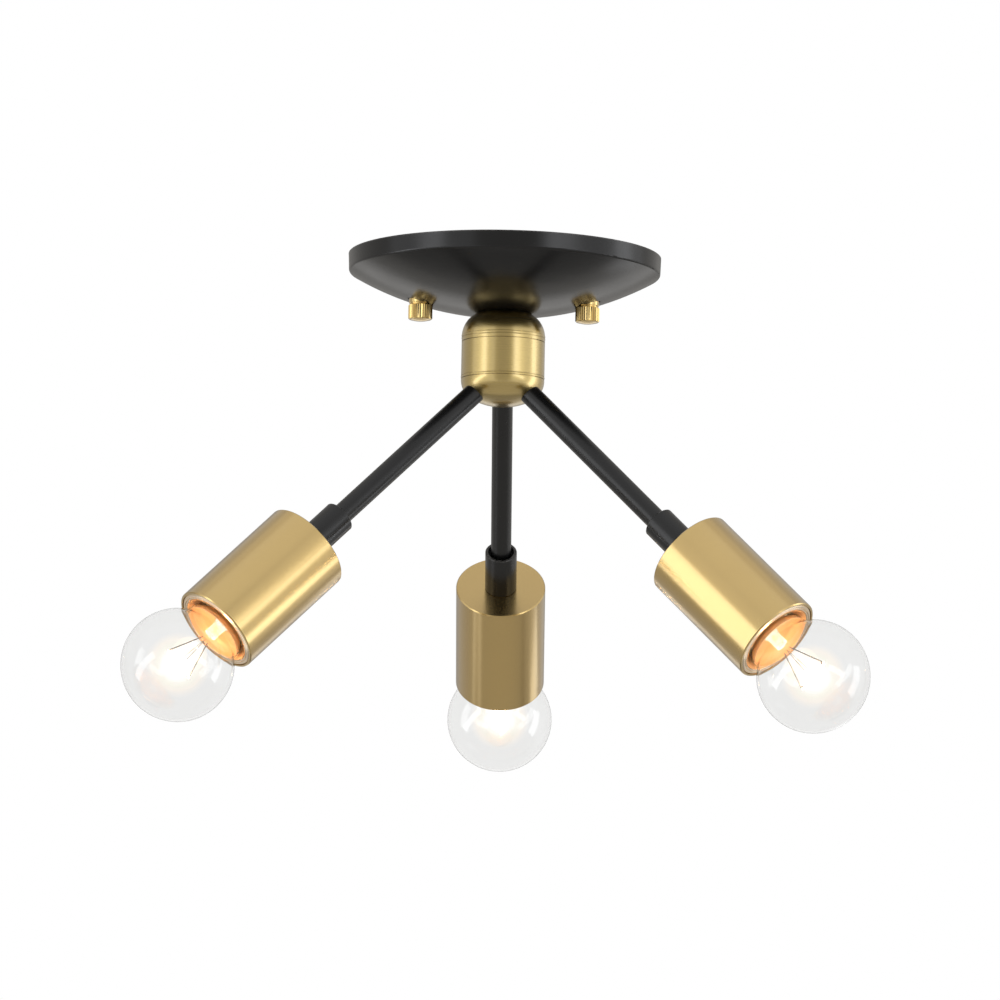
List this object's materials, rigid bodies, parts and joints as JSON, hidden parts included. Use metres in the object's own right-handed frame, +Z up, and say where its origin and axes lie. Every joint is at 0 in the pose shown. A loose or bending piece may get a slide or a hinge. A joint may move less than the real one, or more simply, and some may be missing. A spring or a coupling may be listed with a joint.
{
  "type": "semi flush ceiling light",
  "caption": "Semi flush ceiling light: a domed canopy and short round hub carry slanting arms, each ending in a cylindrical socket cup with a clear globe lamp.",
  "frame": {"origin": "centre of the canopy's rim, on the ceiling plane", "axes": "+Z up into the ceiling, so the light hangs toward -Z; -Y is the front, where the two front lamps stand left and right; +X is to the right seen from the front"},
  "size_m": [0.3286, 0.2912, 0.2227],
  "materials": {
    "canopy_black": "satin black powder coat",
    "arm_black": "satin black paint",
    "collar_black": "satin black paint, edges a little brighter",
    "hub_brass": "satin lacquered brass, turned",
    "cup_brass": "satin lacquered brass, brushed round the cup",
    "ring_brass": "polished",
    "thumb_brass": "satin, knurled grip",
    "contact_brass": "plain stamped",
    "zinc_steel": "zinc plated",
    "green_steel": "green earthing screw",
    "copper": "bare copper wire",
    "wire_sleeving": "heat-proof insulation",
    "porcelain": "glazed white",
    "lamp_base": "stamped lamp base",
    "black_glass": "black insulator",
    "solder": "solder button",
    "clear_glass": "clear, polished",
    "stem_glass": "clear pressed glass",
    "filament": "tungsten coil with its lead wires, glowing"
  },
  "bodies": {
    "fixture": {"canopy": "canopy_black", "box_strap": "zinc_steel", "canopy_strap": "zinc_steel", "strap_eyelet": "zinc_steel", "canopy_studs": "zinc_steel", "stud_lock_nuts": "zinc_steel", "ground_screw": "green_steel", "ground_lead": "copper", "centre_nipple": "zinc_steel", "nipple_nut": "zinc_steel", "lock_washer": "zinc_steel", "hub_top_cap": "hub_brass", "hub_sleeve": "hub_brass", "hub_body": "hub_brass", "arm_nuts": "zinc_steel", "arm_tube_left": "arm_black", "collar_left": "collar_black", "socket_cup_left": "cup_brass", "socket_body_left": "porcelain", "screw_shell_left": "contact_brass", "socket_contact_left": "contact_brass", "socket_ring_left": "ring_brass", "arm_wires_left": "wire_sleeving", "arm_tube_right": "arm_black", "collar_right": "collar_black", "socket_cup_right": "cup_brass", "socket_body_right": "porcelain", "screw_shell_right": "contact_brass", "socket_contact_right": "contact_brass", "socket_ring_right": "ring_brass", "arm_wires_right": "wire_sleeving", "arm_tube_rear": "arm_black", "collar_rear": "collar_black", "socket_cup_rear": "cup_brass", "socket_body_rear": "porcelain", "screw_shell_rear": "contact_brass", "socket_contact_rear": "contact_brass", "socket_ring_rear": "ring_brass", "arm_wires_rear": "wire_sleeving"},
    "lamp_left": {"bulb_glass_left": "clear_glass", "bulb_base_left": "lamp_base", "bulb_insulator_left": "black_glass", "bulb_contact_left": "solder", "bulb_stem_left": "stem_glass", "bulb_filament_left": "filament"},
    "lamp_right": {"bulb_glass_right": "clear_glass", "bulb_base_right": "lamp_base", "bulb_insulator_right": "black_glass", "bulb_contact_right": "solder", "bulb_stem_right": "stem_glass", "bulb_filament_right": "filament"},
    "lamp_rear": {"bulb_glass_rear": "clear_glass", "bulb_base_rear": "lamp_base", "bulb_insulator_rear": "black_glass", "bulb_contact_rear": "solder", "bulb_stem_rear": "stem_glass", "bulb_filament_rear": "filament"},
    "thumb_nut_left": {"thumb_nut_left": "thumb_brass"},
    "thumb_nut_right": {"thumb_nut_right": "thumb_brass"}
  },
  "joints": [
    {"name": "lamp_left_withdraw", "type": "slide", "parent": "fixture", "child": "lamp_left", "axis": [-0.6395, -0.3692, -0.6743], "range_m": [0, 0.035]},
    {"name": "lamp_right_withdraw", "type": "slide", "parent": "fixture", "child": "lamp_right", "axis": [0.6395, -0.3692, -0.6743], "range_m": [0, 0.035]},
    {"name": "lamp_rear_withdraw", "type": "slide", "parent": "fixture", "child": "lamp_rear", "axis": [0, 0.7385, -0.6743], "range_m": [0, 0.035]},
    {"name": "thumb_nut_left_turn", "type": "hinge", "parent": "fixture", "child": "thumb_nut_left", "pos_m": [-0.0381, 0, -0.024], "axis": [0, 0, -1], "range_deg": [0, 3300]},
    {"name": "thumb_nut_right_turn", "type": "hinge", "parent": "fixture", "child": "thumb_nut_right", "pos_m": [0.0381, 0, -0.024], "axis": [0, 0, -1], "range_deg": [0, 3300]}
  ]
}
